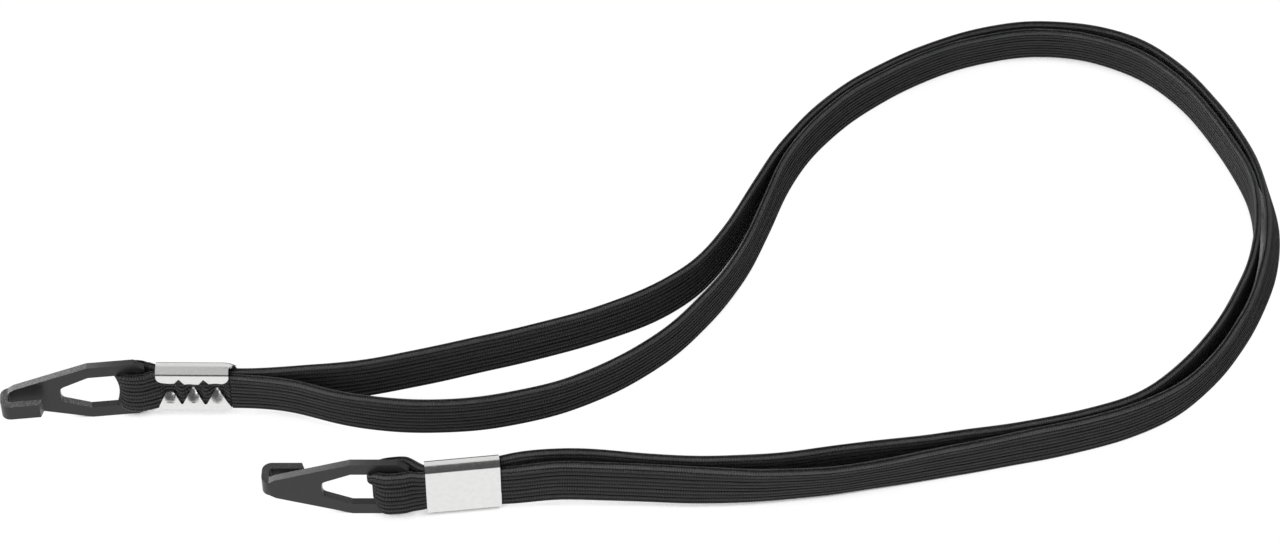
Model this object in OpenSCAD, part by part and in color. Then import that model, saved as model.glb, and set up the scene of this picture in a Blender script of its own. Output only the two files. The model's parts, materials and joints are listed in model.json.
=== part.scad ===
// Spectacle retainer strap: a closed loop of flat braided elastic, lying doubled, with a
// hook at each end. Each hook's end bar stands in an eye of the elastic, and a toothed
// sheet-metal clip behind each eye pinches the two layers together.
// The strap stands on its edge on z = 0. +X runs from the hooks to the back of the loop,
// and +Y is the wearer's right. "Inside" is the side of the strap that faces the head.

/* [Elastic band] */
// Width of the band
band_width = 8; // [7:0.5:9]
// Thickness of the band where nothing presses on it
band_thickness = 1.1; // [0.9:0.1:1.3]
// Thickness of one layer where a clip pinches it
pinched_thickness = 1; // [0.8:0.1:1.2]
// Bevel along the band's edges
band_edge = 0.3; // [0.1:0.05:0.4]
// Free height above and below the band where it goes through a hook's eye
eye_play = 0.3; // [0.2:0.1:0.6]
// Play between a loop of the band and the end bar in it
bar_play = 0.25; // [0.2:0.05:0.4]

/* [Right end] */
// Length of the right loop, from the middle of the end bar to the loop's nose
right_loop_reach = 3.5; // [3:0.1:5.5]
// Width across the right loop
right_loop_width = 4.3; // [4.3:0.1:5.4]
// Distance from the middle of the right end bar to the clip
right_clip_gap = 2.8; // [2.6:0.1:4.5]
// Place of the right end bar along X
right_bar_x = -18.1; // [-25:0.1:-10]
// Place of the right end bar along Y
right_bar_y = 11.6; // [9:0.1:13]
// Turn of the right hook about its end bar, in degrees
right_hook_turn = 6.5; // [0:0.5:10]
// Turn of the right clip, in degrees
right_clip_turn = -0.5; // [-3:0.5:1]

/* [Left end] */
// Length of the left loop, from the middle of the end bar to the loop's nose
left_loop_reach = 4.9; // [3:0.1:5.5]
// Width across the left loop
left_loop_width = 5.4; // [5.3:0.1:5.8]
// Distance from the middle of the left end bar to the clip
left_clip_gap = 3.4; // [2.6:0.1:4.5]
// Place of the left end bar along X
left_bar_x = 24.8; // [20:0.1:30]
// Place of the left end bar along Y
left_bar_y = -9.8; // [-12:0.1:-9]
// Turn of the left hook about its end bar, in degrees
left_hook_turn = 0; // [-3:0.5:3]
// Turn of the left clip, in degrees
left_clip_turn = 7; // [5:0.5:8]
// How far the left clip's middle line passes outside the middle of the end bar
left_clip_aside = 0.5; // [0:0.1:0.6]

/* [Hook plate] */
// Length of a hook over all
hook_length = 23; // [21:0.5:26]
// Height of a hook where its sides run straight
hook_height = 11.2; // [10.8:0.1:12]
// Thickness of the hook's plate, bend and lip
hook_thickness = 1.2; // [1:0.1:1.5]
// Width of the side bars beside the eye
side_bar_width = 2.2; // [1.8:0.1:2.4]
// Length of the taper, from the bend's outer face to the straight sides
taper_length = 14; // [12.5:0.5:15]
// Distance from the bend's outer face to the eye's narrow end
web_length = 9.4; // [8.5:0.1:10.5]
// Height of the flat at the eye's narrow end
eye_nose_height = 1.6; // [1.2:0.1:2]
// Corner radius at the eye's narrow end
eye_nose_radius = 1; // [0.6:0.1:1.2]
// Diameter of the round end bar
end_bar_diameter = 1.6; // [1.3:0.1:1.6]
// How far the side bars' ends stand past the end bar
end_bar_inset = 0.15; // [0.05:0.05:0.3]
// Length of the bevelled corners at the end bar, along the hook
end_corner_length = 1.6; // [1:0.1:2]
// Depth of the bevelled corners at the end bar, across the hook
end_corner_depth = 1.3; // [0.8:0.1:1.8]

/* [Hook bend] */
// Clear width of the throat between the plate and the lip
throat_gap = 1.9; // [1.5:0.1:2.5]
// Length of the lip from the bend's outer face
lip_length = 6.6; // [5.5:0.1:8]
// Height of the bend and the lip
lip_height = 2.8; // [2.4:0.1:3.4]
// Slope of the lip's free end, as run along the hook
lip_end_slope = 0.45; // [0:0.05:0.8]
// Outer corner radius of the bend
bend_radius = 1.5; // [1:0.1:1.8]
// Inner corner radius of the bend
throat_radius = 0.45; // [0.2:0.05:0.7]
// Rise of the plate's half height just behind the bend
shoulder_rise = 0.65; // [0.3:0.05:1]
// Length of that rise, from the bend's outer face
shoulder_length = 2.2; // [1.8:0.1:3]

/* [Clip] */
// Length of a clip along the band
clip_length = 11.6; // [10.5:0.1:13]
// Thickness of the clip's sheet
sheet = 0.4; // [0.3:0.05:0.5]
// Free height above and below the band in the clip
clip_play = 0.3; // [0.2:0.05:0.5]
// Outer radius of the folds on the flap side
flap_fold_radius = 1.3; // [1:0.05:1.35]
// Outer radius of the folds on the plain side
back_fold_radius = 1; // [0.5:0.05:1.1]
// Height of the flap with the small notches, from the clip's edge
short_flap_height = 2.7; // [2.4:0.1:3.2]
// Depth of the two small notches
small_notch_depth = 0.9; // [0.5:0.1:1.1]
// Width of the two small notches at the flap's edge
small_notch_width = 1.5; // [1:0.1:2]
// Corner radius of the short flap
short_flap_corner = 1.3; // [0.8:0.1:1.6]
// Height of the flap with the three teeth, from the clip's edge to the tips
tooth_flap_height = 4.8; // [4.4:0.1:5.2]
// Depth of the notches between the teeth
tooth_depth = 2.8; // [2.4:0.1:3]
// Slope of a tooth's sides, as run along the clip over the tooth's depth
tooth_run = 1.55; // [1.3:0.05:1.7]
// How far the teeth bite into the band
bite = 0.3; // [0.2:0.05:0.5]

/* [Hidden] */

TOOTH_COUNT = 3;
CURVE_FN = 64;
CORNER_FN = 48;
CUT = 0.01;                // a cutting shape reaches this far past the face that it cuts
MOUTH_GAP = 0.1;           // between a clip's end and the strands that come out of it
STACK_GAP = 0.1;           // between the two strands where they come out of a clip
RINGS = 40;                // rings along one strand
MATCH = 0.01;              // step along the route for its direction

band_black = "#2c2c2e";
hook_black = "#3a3a3b";
bright_steel = "#d9dadb";

mid_height = hook_height / 2;
eye_height = hook_height - 2 * side_bar_width;
squeezed_width = min(band_width, eye_height - 2 * eye_play);
bar_radius = end_bar_diameter / 2;
end_x = bar_radius + end_bar_inset;           // ends of the side bars
tip_x = end_x - hook_length;                  // outer face of the bend
lip_face = 1.5 * hook_thickness + throat_gap; // outer face of the lip
sweep_radius = norm([end_x, hook_thickness / 2]) + bar_play;
clip_height = band_width + 2 * clip_play + 2 * sheet;
clip_depth = 2 * pinched_thickness + 2 * sheet;
tooth_pitch = clip_length / TOOTH_COUNT;
end_lift = (hook_height - band_width) / 2;    // band's lower edge above z = 0 in a clip

// A point at the given distance from start, in the direction of angle, on the ground.
function along(start, angle, distance) = start + distance * [cos(angle), sin(angle)];
// The same, and to the left of that direction by aside.
function beside(start, angle, distance, aside) =
    along(along(start, angle, distance), angle + 90, aside);

right_bar = [right_bar_x, right_bar_y];
left_bar = [left_bar_x, left_bar_y];
left_eye = beside(left_bar, left_clip_turn, 0, -left_clip_aside); // middle of the left loop
strand_offset = (band_thickness + STACK_GAP) / 2;
right_mouth = right_clip_gap + clip_length + MOUTH_GAP;
left_mouth = left_clip_gap + clip_length + MOUTH_GAP;

// The route of each strand's lower edge from the right clip round to the left one:
// [x, y, lean towards the inside in degrees, share of the lift that the clips give].
// The first and the last point are the clips' mouths. A cubic B-spline follows them.
inner_points = [
    [6, 11, 8, 0.8], [19, 5, 5, 0.7], [44.5, 6.5, 7, 0.6], [66, 19.5, 3, 0.4],
    [80, 41.5, 0, 0.2], [84.5, 58.5, -5, 0], [91.5, 74, 1, 0], [106, 88, 8, 0],
    [123, 97, 16, 0], [140, 98, 17, 0], [155, 88, 14, 0], [161.5, 72, 9, 0], [167.5, 54, 4, 0],
    [160.5, 30.5, 3, 0], [146, 10.5, -3, 0], [133, 4.5, -6, 0], [116, 1, -6, 0],
    [95, -3, -5, 0.3], [73.5, -7.5, -3, 0.6], [52.5, -5, -1, 0.8], [47, -6, 4, 0.9],
];
outer_points = [
    [13.5, 12, 1, 0.8], [34, 18.5, 1, 0.7], [54, 25, 2, 0.6], [70.5, 34, -2, 0.4],
    [79, 50.5, -2, 0.2], [84.5, 67.5, 8, 0], [95.5, 82, 10, 0], [112, 94.5, 14, 0],
    [131.5, 101, 17, 0], [150.5, 97, 20, 0], [161.5, 82.5, 20, 0], [168.5, 63, 19, 0],
    [169.5, 47, 20, 0], [162, 28, 4, 0], [150.5, 11.5, -4, 0], [136, 3.5, -6, 0],
    [114, -1.5, -5, 0], [91.5, -7, -20, 0.3], [71.5, -9.5, 1, 0.6], [52.5, -8, 3, 0.8],
];

// The whole route of a strand, with side = 1 for the strand that comes out of a clip on
// the inside of the right end, and -1 for the other.
function route(points, side) = concat(
    [concat(beside(right_bar, right_clip_turn, right_mouth, -side * strand_offset), [0, 1])],
    points,
    [concat(beside(left_eye, left_clip_turn, left_mouth, side * strand_offset), [0, 1])]
);

// The point at u on the cubic B-spline of points c, where u counts the points from 0.
function spline_at(c, u) =
    let (
        k = max(0, min(floor(u), len(c) - 2)),
        f = u - k,
        before = k > 0 ? c[k - 1] : 2 * c[0] - c[1],
        after = k + 2 < len(c) ? c[k + 2] : 2 * c[k + 1] - c[k]
    )
    (pow(1 - f, 3) * before + (3 * pow(f, 3) - 6 * pow(f, 2) + 4) * c[k]
        + (-3 * pow(f, 3) + 3 * pow(f, 2) + 3 * f + 1) * c[k + 1] + pow(f, 3) * after) / 6;

// The band's section: [across the band, up the band], with bevelled edges.
function band_section() =
    let (t = band_thickness / 2, e = band_edge, w = band_width)
    [
        [-t, e], [e - t, 0], [t - e, 0], [t, e],
        [t, w - e], [t - e, w], [e - t, w], [-t, w - e],
    ];

// One ring of the band at u: its section leans over its lower edge, which stays at or
// above z = 0.
function ring(c, u) =
    let (
        p = spline_at(c, u),
        ahead = spline_at(c, u + MATCH) - spline_at(c, u - MATCH),
        t = [ahead.x, ahead.y] / norm([ahead.x, ahead.y]),
        inward = [t.y, -t.x],
        lean = p[2],
        base = p[3] * end_lift + band_thickness / 2 * abs(sin(lean))
    )
    [
        for (s = band_section())
            let (out = s.x * cos(lean) + s.y * sin(lean))
            [
                p.x + inward.x * out,
                p.y + inward.y * out,
                base + s.y * cos(lean) - s.x * sin(lean),
            ]
    ];

module strand(c) {
    sides = len(band_section());
    rings = [for (i = [0 : RINGS - 1]) ring(c, i * (len(c) - 1) / (RINGS - 1))];
    points = [for (r = rings) for (p = r) p];
    walls = [
        for (i = [0 : RINGS - 2], j = [0 : sides - 1])
            let (n = (j + 1) % sides)
            [i * sides + j, i * sides + n, (i + 1) * sides + n, (i + 1) * sides + j]
    ];
    first_cap = [for (j = [sides - 1 : -1 : 0]) j];
    last_cap = [for (j = [0 : sides - 1]) (RINGS - 1) * sides + j];
    polyhedron(points, concat(walls, [first_cap, last_cap]));
}

// Puts an end of the strap in its place. In an end's own frame the end bar stands on
// z = 0 at the origin, the hook points along -x, and the inside is +y.
module place(bar, turn, flipped) {
    translate([bar.x, bar.y, mid_height])
        rotate([0, 0, turn])
            rotate([flipped ? 180 : 0, 0, 0])
                children();
}

// A flat shape drawn in x and z, made depth thick and centred on y = 0.
module upright(depth) {
    rotate([90, 0, 0])
        linear_extrude(depth, center = true)
            children();
}

// ---- hook ----

// A half outline given from low x to high x, with its mirror image below.
module mirrored(half) {
    polygon(concat(half, [for (i = [len(half) - 1 : -1 : 0]) [half[i].x, -half[i].y]]));
}

// The plate from the bend to the ends of the side bars, as seen from the inside.
module plate_outline() {
    tip = lip_height / 2;
    side = hook_height / 2;
    mirrored([
        [tip_x - CUT, tip],
        [tip_x + hook_thickness, tip],
        [tip_x + shoulder_length, tip + shoulder_rise],
        [tip_x + taper_length, side],
        [end_x - end_corner_length, side],
        [end_x, side - end_corner_depth],
    ]);
}

// The eye: narrow at the web, widening with the taper, then straight and open at the end.
module eye_outline() {
    nose_x = tip_x + web_length;
    nose = eye_nose_height / 2;
    r = eye_nose_radius;
    centre = [nose_x + r, nose];
    wide = [tip_x + taper_length, eye_height / 2];
    // The slanted side touches the corner circle, so it leaves it at this point.
    d = wide - centre;
    a = atan2(d.y, d.x) + acos(r / norm(d));
    touch = centre + r * [cos(a), sin(a)];
    mirrored([[nose_x, nose], centre, touch, wide, [end_x + CUT, wide.y]]);
    for (s = [-1, 1])
        translate([centre.x, s * centre.y])
            circle(r, $fn = CORNER_FN);
}

// A rectangle from low_y to high_y whose two corners at x = 0 are round.
module nosed_rectangle(length, low_y, high_y, r) {
    translate([r, low_y])
        square([length - r, high_y - low_y]);
    translate([0, low_y + r])
        square([length, high_y - low_y - 2 * r]);
    for (y = [low_y + r, high_y - r])
        translate([r, y])
            circle(r, $fn = CORNER_FN);
}

// The hook seen from above: plate, bend and lip, like a letter J.
module hook_plan() {
    back = -hook_thickness / 2;
    difference() {
        translate([tip_x, 0])
            nosed_rectangle(hook_length, back, lip_face, bend_radius);
        translate([tip_x + hook_thickness, 0])
            nosed_rectangle(hook_length, -back, lip_face - hook_thickness, throat_radius);
        translate([tip_x + lip_length, lip_face - hook_thickness])
            polygon([
                [0, -CUT], [hook_length, -CUT], [hook_length, hook_thickness + CUT],
                [-lip_end_slope, hook_thickness + CUT],
            ]);
    }
}

module hook() {
    difference() {
        intersection() {
            linear_extrude(2 * hook_height, center = true)
                hook_plan();
            upright(4 * lip_face)
                plate_outline();
        }
        upright(4 * lip_face)
            eye_outline();
        // Above and below the lip, from the middle of the throat outwards.
        for (s = [-1, 1])
            translate([tip_x - CUT, (hook_thickness + throat_gap) / 2, s * hook_height / 2])
                translate([0, 0, -(hook_height - lip_height) / 2])
                    cube([2 * lip_length, 2 * lip_face, hook_height - lip_height]);
    }
    cylinder(d = end_bar_diameter, h = eye_height + side_bar_width, center = true, $fn = CURVE_FN);
}

// ---- elastic at a hook ----

// A half outline from the line that touches a circle of radius r round the end bar, on
// through the given points, with its mirror image below.
module neck(r, half) {
    mouth = half[0];
    a = atan2(mouth.y, mouth.x) + acos(r / norm(mouth));
    mirrored(concat([r * [cos(a), sin(a)]], half));
}

// A loop round the end bar with outer radius r, reaching to its nose at -reach.
module loop_outline(r, reach) {
    circle(r, $fn = CURVE_FN);
    translate([r - reach, 0])
        circle(r, $fn = CURVE_FN);
    translate([r - reach, -r])
        square([reach - r, 2 * r]);
}

// The band from the loop's nose to the clip's far end. It is squeezed inside the hook's
// sweep to go through the eye, and has its full width in the clip.
module eye_loop(reach, width, gap) {
    r = width / 2;
    inner_r = r - band_thickness;
    layers = pinched_thickness;
    low = squeezed_width / 2;
    high = band_width / 2;
    difference() {
        linear_extrude(band_width, center = true)
            difference() {
                union() {
                    loop_outline(r, reach);
                    neck(r, [[gap, layers], [gap + clip_length, layers]]);
                }
                loop_outline(inner_r, reach - band_thickness);
                neck(inner_r, [[gap - bar_play, STACK_GAP / 2]]);
            }
        for (s = [-1, 1])
            upright(2 * width)
                polygon([
                    [-2 * reach, s * low], [sweep_radius, s * low], [gap, s * high],
                    [gap, s * band_width], [-2 * reach, s * band_width],
                ]);
    }
}

// ---- clip ----

// The folded sheet seen along the band, closed all round: the flaps are cut out of it.
module clip_section() {
    module folded(grow) {
        y = clip_depth / 2 - sheet + grow;
        z = clip_height / 2 - sheet + grow;
        flap_r = flap_fold_radius - sheet + grow;
        back_r = back_fold_radius - sheet + grow;
        intersection() {
            translate([-y, -z])
                square([2 * y, 2 * z]);
            union() {
                translate([-y, back_r - z])
                    square([2 * y, 2 * (z - back_r)]);
                translate([back_r - y, -z])
                    square([2 * y - back_r - flap_r, 2 * z]);
                translate([-y, flap_r - z])
                    square([2 * y, 2 * (z - flap_r)]);
                for (s = [-1, 1]) {
                    translate([back_r - y, s * (z - back_r)])
                        circle(back_r, $fn = CORNER_FN);
                    translate([y - flap_r, s * (z - flap_r)])
                        circle(flap_r, $fn = CORNER_FN);
                }
            }
        }
    }
    difference() {
        folded(sheet);
        folded(0);
    }
}

// The space between the flaps, seen from the inside: teeth above, small notches below.
module flap_gap() {
    half = clip_length / 2 + CUT;
    top = clip_height / 2;
    tips = top - tooth_flap_height;
    roots = tips + tooth_depth;
    edge = short_flap_height - top;
    flat = tooth_pitch / 2 - tooth_run;
    tooth_line = [
        for (i = [-1 : 1]) each [
            [i * tooth_pitch - tooth_pitch / 2, roots],
            [i * tooth_pitch - flat, tips],
            [i * tooth_pitch + flat, tips],
            [i * tooth_pitch + tooth_pitch / 2, roots],
        ]
    ];
    // The outer sides of the outer teeth run on past the roots to the fold.
    fold = top - flap_fold_radius;
    inner_line = [for (i = [1 : len(tooth_line) - 2]) tooth_line[i]];
    difference() {
        union() {
            polygon(concat([[-half, edge], [-half, fold]], inner_line, [[half, fold], [half, edge]]));
            for (x = [-1, 1] * tooth_pitch / 2)
                translate([x, edge])
                    polygon([
                        [-small_notch_width / 2, CUT], [0, -small_notch_depth],
                        [small_notch_width / 2, CUT],
                    ]);
            // The rounded corners of the short flap.
            for (s = [-1, 1])
                translate([s * clip_length / 2, edge])
                    polygon([[s * CUT, CUT], [-s * short_flap_corner, CUT], [s * CUT, -short_flap_corner]]);
        }
        for (s = [-1, 1])
            translate([s * (clip_length / 2 - short_flap_corner), edge - short_flap_corner])
                circle(short_flap_corner, $fn = CORNER_FN);
    }
}

// One tooth's bent tip: a wedge that leaves the flap and ends in the band.
module tooth_tip() {
    top = clip_height / 2;
    tips = top - tooth_flap_height;
    start = tips + tooth_depth / 2;
    face = clip_depth / 2;
    flat = tooth_pitch / 2 - tooth_run;
    intersection() {
        rotate([90, 0, 90])
            linear_extrude(tooth_pitch, center = true)
                polygon([
                    [face, start + CUT], [face - sheet, start + CUT], [face - sheet, start],
                    [face - sheet - bite, tips], [face - bite, tips], [face, start],
                ]);
        upright(2 * clip_depth)
            polygon([[-flat - tooth_run, tips + tooth_depth], [-flat, tips], [flat, tips],
                [flat + tooth_run, tips + tooth_depth]]);
    }
}

module clip(gap) {
    top = clip_height / 2;
    tips = top - tooth_flap_height;
    translate([gap + clip_length / 2, 0, 0]) {
        difference() {
            rotate([90, 0, 90])
                linear_extrude(clip_length, center = true)
                    clip_section();
            translate([0, clip_depth / 2, 0])
                upright(2 * (sheet + CUT))
                    flap_gap();
            // The upper half of each tooth is bent inwards, so its flat form is cut off.
            translate([0, clip_depth / 2, tips + tooth_depth / 4])
                cube([clip_length + 2 * CUT, 2 * (sheet + CUT), tooth_depth / 2], center = true);
        }
        for (i = [-1 : 1])
            translate([i * tooth_pitch, 0, 0])
                tooth_tip();
    }
}

// ---- nodes ----

module hook_right() {
    color(hook_black)
        place(right_bar, right_hook_turn, true)
            hook();
}

module hook_left() {
    color(hook_black)
        place(left_bar, left_hook_turn, false)
            hook();
}

module eye_loop_right() {
    color(band_black)
        place(right_bar, right_clip_turn, true)
            eye_loop(right_loop_reach, right_loop_width, right_clip_gap);
}

module eye_loop_left() {
    color(band_black)
        place(left_eye, left_clip_turn, false)
            eye_loop(left_loop_reach, left_loop_width, left_clip_gap);
}

module clip_right() {
    color(bright_steel)
        place(right_bar, right_clip_turn, true)
            clip(right_clip_gap);
}

module clip_left() {
    color(bright_steel)
        place(left_eye, left_clip_turn, false)
            clip(left_clip_gap);
}

module strand_inner() {
    color(band_black)
        strand(route(inner_points, 1));
}

module strand_outer() {
    color(band_black)
        strand(route(outer_points, -1));
}

hook_right();
hook_left();
eye_loop_right();
eye_loop_left();
clip_right();
clip_left();
strand_inner();
strand_outer();
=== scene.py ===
"""A spectacle retainer strap: doubled braided elastic, two flat hooks and two toothed clips.

The strap stands on its edge on z = 0. +X runs from the hooks to the back of the loop and
+Y is the wearer's right. Each end has a frame of its own: its end bar is the origin, the
hook points along -x, the clip along +x, and +y is the inside, which faces the head.
"""

import json
import math

import bmesh
import bpy
import numpy as np
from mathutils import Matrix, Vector


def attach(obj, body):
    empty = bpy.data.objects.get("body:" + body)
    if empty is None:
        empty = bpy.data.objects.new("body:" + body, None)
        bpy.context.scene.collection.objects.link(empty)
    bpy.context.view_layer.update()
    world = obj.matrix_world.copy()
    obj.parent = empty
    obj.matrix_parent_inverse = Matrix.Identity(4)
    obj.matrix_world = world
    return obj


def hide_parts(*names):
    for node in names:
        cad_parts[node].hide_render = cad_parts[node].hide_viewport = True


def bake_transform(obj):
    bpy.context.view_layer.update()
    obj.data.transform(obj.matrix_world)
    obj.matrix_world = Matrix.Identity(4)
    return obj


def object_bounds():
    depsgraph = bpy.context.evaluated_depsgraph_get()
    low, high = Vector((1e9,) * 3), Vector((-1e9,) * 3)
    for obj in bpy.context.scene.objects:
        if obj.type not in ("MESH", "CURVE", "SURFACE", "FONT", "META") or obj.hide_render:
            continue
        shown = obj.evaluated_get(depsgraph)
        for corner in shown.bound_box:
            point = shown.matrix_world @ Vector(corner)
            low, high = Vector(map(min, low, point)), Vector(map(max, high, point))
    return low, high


bl_info = {
    "name": "Spectacle Retainer Strap",
    "version": (1, 0, 0),
    "blender": (4, 5, 0),
    "location": "3D View > Sidebar > Strap",
    "description": "Braided elastic strap with hooks and toothed clips",
    "category": "Add Mesh",
}

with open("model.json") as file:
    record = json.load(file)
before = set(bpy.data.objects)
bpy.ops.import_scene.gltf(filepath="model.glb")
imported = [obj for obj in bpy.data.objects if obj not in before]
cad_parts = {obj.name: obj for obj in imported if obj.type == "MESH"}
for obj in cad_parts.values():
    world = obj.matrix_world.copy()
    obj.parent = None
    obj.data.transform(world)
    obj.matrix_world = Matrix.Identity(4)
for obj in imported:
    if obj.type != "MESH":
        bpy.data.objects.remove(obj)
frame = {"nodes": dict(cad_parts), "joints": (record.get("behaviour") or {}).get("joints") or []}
CAD_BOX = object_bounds()
JOINTS = {j["name"]: j for j in frame["joints"]}

# Each end of the strap: its end bar, the turn of its clip in degrees, whether it is turned
# over about its own length, how far its clip's line passes outside the end bar, the
# distance from the bar to the clip, and the loop's reach and width, in metres.
ENDS = {
    "right": {
        "bar": JOINTS["hook_right_swing"]["pos_m"],
        "turn": -0.5,
        "over": True,
        "aside": 0.0,
        "gap": 0.0028,
        "reach": 0.0035,
        "width": 0.0043,
    },
    "left": {
        "bar": JOINTS["hook_left_swing"]["pos_m"],
        "turn": 7.0,
        "over": False,
        "aside": 0.0005,
        "gap": 0.0034,
        "reach": 0.0049,
        "width": 0.0052,
    },
}
CLIP_LENGTH = 0.0116
TOOTH_PITCH = CLIP_LENGTH / 3
SHORT_FLAP = 0.0027
SHORT_FLAP_CORNER = 0.0013
NOTCH_DEPTH = 0.0009
NOTCH_HALF_WIDTH = 0.00075
BEND_START = 0.0021  # of a tooth, below the top of its clip
BEND_END = 0.0047
MOUTH_GAP = 0.0001
STRAND_OFFSET = 0.0006
END_LIFT = 0.0016
LEFT_SPREAD = 0.0006  # how far a strand sits above or below the middle at the left clip
RIGHT_SQUEEZE = 0.09  # share of its width that the band lacks at the right clip

# The route of each strand's lower edge, in metres: x, y, lean towards the inside in
# degrees, and the share of the lift that the clips give. A cubic B-spline follows them.
INNER_ROUTE = [
    (0.006, 0.011, 8, 0.8), (0.019, 0.005, 5, 0.7), (0.0445, 0.0065, 7, 0.6),
    (0.066, 0.0195, 3, 0.4), (0.08, 0.0415, 0, 0.2), (0.0845, 0.0585, -5, 0), (0.0915, 0.074, 1, 0),
    (0.106, 0.088, 8, 0), (0.123, 0.097, 16, 0), (0.14, 0.098, 17, 0), (0.155, 0.088, 14, 0),
    (0.1615, 0.072, 9, 0), (0.1675, 0.054, 4, 0), (0.1605, 0.0305, 3, 0), (0.146, 0.0105, -3, 0),
    (0.133, 0.0045, -6, 0), (0.116, 0.001, -6, 0), (0.095, -0.003, -5, 0.3),
    (0.0735, -0.0075, -3, 0.6), (0.0525, -0.005, -1, 0.8), (0.047, -0.006, 4, 0.9),
]
OUTER_ROUTE = [
    (0.0135, 0.012, 1, 0.8), (0.034, 0.0185, 1, 0.7), (0.054, 0.025, 2, 0.6),
    (0.0705, 0.034, -2, 0.4), (0.079, 0.0505, -2, 0.2), (0.0845, 0.0675, 8, 0),
    (0.0955, 0.082, 10, 0), (0.112, 0.0945, 14, 0), (0.1315, 0.101, 17, 0), (0.1505, 0.097, 20, 0),
    (0.1615, 0.0825, 20, 0), (0.1685, 0.063, 19, 0), (0.1695, 0.047, 20, 0), (0.162, 0.028, 4, 0),
    (0.1505, 0.0115, -4, 0), (0.136, 0.0035, -6, 0), (0.114, -0.0015, -5, 0),
    (0.0915, -0.007, -20, 0.3), (0.0715, -0.0095, 1, 0.6), (0.0525, -0.008, 3, 0.8),
]

VIEW_MIDDLE = np.array([0.0615, 0.043, 0.0])  # the point that the camera looks at
FLOOR_HALF_WIDTH = 4.0

# How deep each groove between the ribs is, from 0 to 1, round the band from the middle
# of its lower edge.
GROOVES = np.array([0.8, 0.4, 0.9, 0.5, 1.0, 0.8, 0.45, 1.0, 0.65, 0.8,
                    0.95, 0.8, 0.6, 1.0, 0.5, 0.75, 1.0, 0.45, 0.9, 0.4])


# ---------------------------------------------------------------- settings


def size(name, description, default, precision=5):
    """A length that a user can change."""
    return bpy.props.FloatProperty(
        name=name, description=description, default=default, unit="LENGTH", precision=precision
    )


def colour(name, description, *default):
    """A colour that a user can change."""
    return bpy.props.FloatVectorProperty(
        name=name, description=description, subtype="COLOR", default=default, min=0, max=1
    )


class BandSettings(bpy.types.PropertyGroup):
    """The braided elastic."""

    width: size("Width", "Width of the band", 0.008, 4)
    thickness: size("Thickness", "Thickness of the band over its ribs", 0.0011, 4)
    pinched: size("Pinched thickness", "Thickness of one layer inside a clip", 0.001, 4)
    rib_depth: size("Rib depth", "Height of a rib above the grooves beside it", 0.00014)
    eye_width: size(
        "Width in the eye", "Width of the band where it goes through an eye", 0.0066, 4
    )
    thread: colour("Thread colour", "Colour of the braided threads", 0.031, 0.031, 0.032)
    # The groove colour is painted shade: the thread colour darkened where shade falls in the
    # grooves.
    groove: colour("Groove colour", "Colour down in the grooves", 0.002, 0.002, 0.0021)
    # The speckles' colour is partly raised fibres and partly painted sheen.
    lint_and_sheen: colour(
        "Lint colour", "Colour of raised fibres that catch the light", 0.1, 0.1, 0.102
    )


class HookSettings(bpy.types.PropertyGroup):
    """The moulded hooks."""

    edge: size("Edge rounding", "Radius of the moulded edges", 0.00014)
    plastic: colour("Plastic colour", "Colour of the plastic", 0.02, 0.02, 0.021)
    # Light grey for the edges: partly worn plastic, partly painted highlight.
    rubbed_and_lit: colour("Rubbed colour", "Colour of rubbed edges", 0.36, 0.36, 0.363)


class ClipSettings(bpy.types.PropertyGroup):
    """The sheet-metal clips."""

    height: size("Height", "Height of the right clip over its folds", 0.0094, 4)
    left_height: size(
        "Left height", "Height of the left clip, which is crimped less", 0.0104, 4
    )
    sheet: size("Sheet", "Thickness of the sheet", 0.0004)
    flap_radius: size("Flap fold", "Outer radius of the folds beside the flaps", 0.0013)
    back_radius: size("Back fold", "Outer radius of the folds beside the plain back", 0.001)
    bite: size("Bite", "How far the teeth bend into the band", 0.0011)
    plating: colour("Plating colour", "Colour of the bright plating", 0.80, 0.80, 0.795)


class StageSettings(bpy.types.PropertyGroup):
    """Floor, lights and camera."""

    distance: size("Camera distance", "From the camera to the middle of the view", 0.6, 4)
    elevation: bpy.props.FloatProperty(
        name="Camera elevation", description="Angle of the camera above the floor",
        default=math.radians(45), subtype="ANGLE",
    )
    focal_length: bpy.props.FloatProperty(
        name="Focal length", description="Focal length on a 36 mm wide sensor", default=101.25
    )
    key: bpy.props.FloatProperty(
        name="Key light", description="Power of the large light above and behind", default=1.0
    )
    fill: bpy.props.FloatProperty(
        name="Fill light", description="Power of the soft light from the viewer's side",
        default=2.4,
    )
    floor: colour("Floor colour", "Colour of the floor", 0.94, 0.94, 0.94)


# ---------------------------------------------------------------- mesh helpers


def add_mesh(name, points, faces, spots=None, smooth=True):
    """A mesh object from points and faces, wound so that it encloses a positive volume.

    spots holds a place on the band for each corner of each face, in the faces' order."""
    triangles = np.array([(f[0], f[i], f[i + 1]) for f in faces for i in range(1, len(f) - 1)])
    a, b, c = (points[triangles[:, i]] - points.mean(0) for i in range(3))
    inside_out = (np.cross(a, b) * c).sum() < 0
    if inside_out:
        faces = [tuple(f[::-1]) for f in faces]
        spots = None if spots is None else [s[::-1] for s in spots]
    mesh = bpy.data.meshes.new(name)
    mesh.from_pydata(points.tolist(), [], faces)
    if spots is not None:
        layer = mesh.uv_layers.new(name="band")
        layer.data.foreach_set("uv", np.concatenate(spots).astype(np.float32).ravel())
    mesh.polygons.foreach_set("use_smooth", [smooth] * len(faces))
    mesh.validate()
    piece = bpy.data.objects.new(name, mesh)
    bpy.context.scene.collection.objects.link(piece)
    return piece


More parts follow.
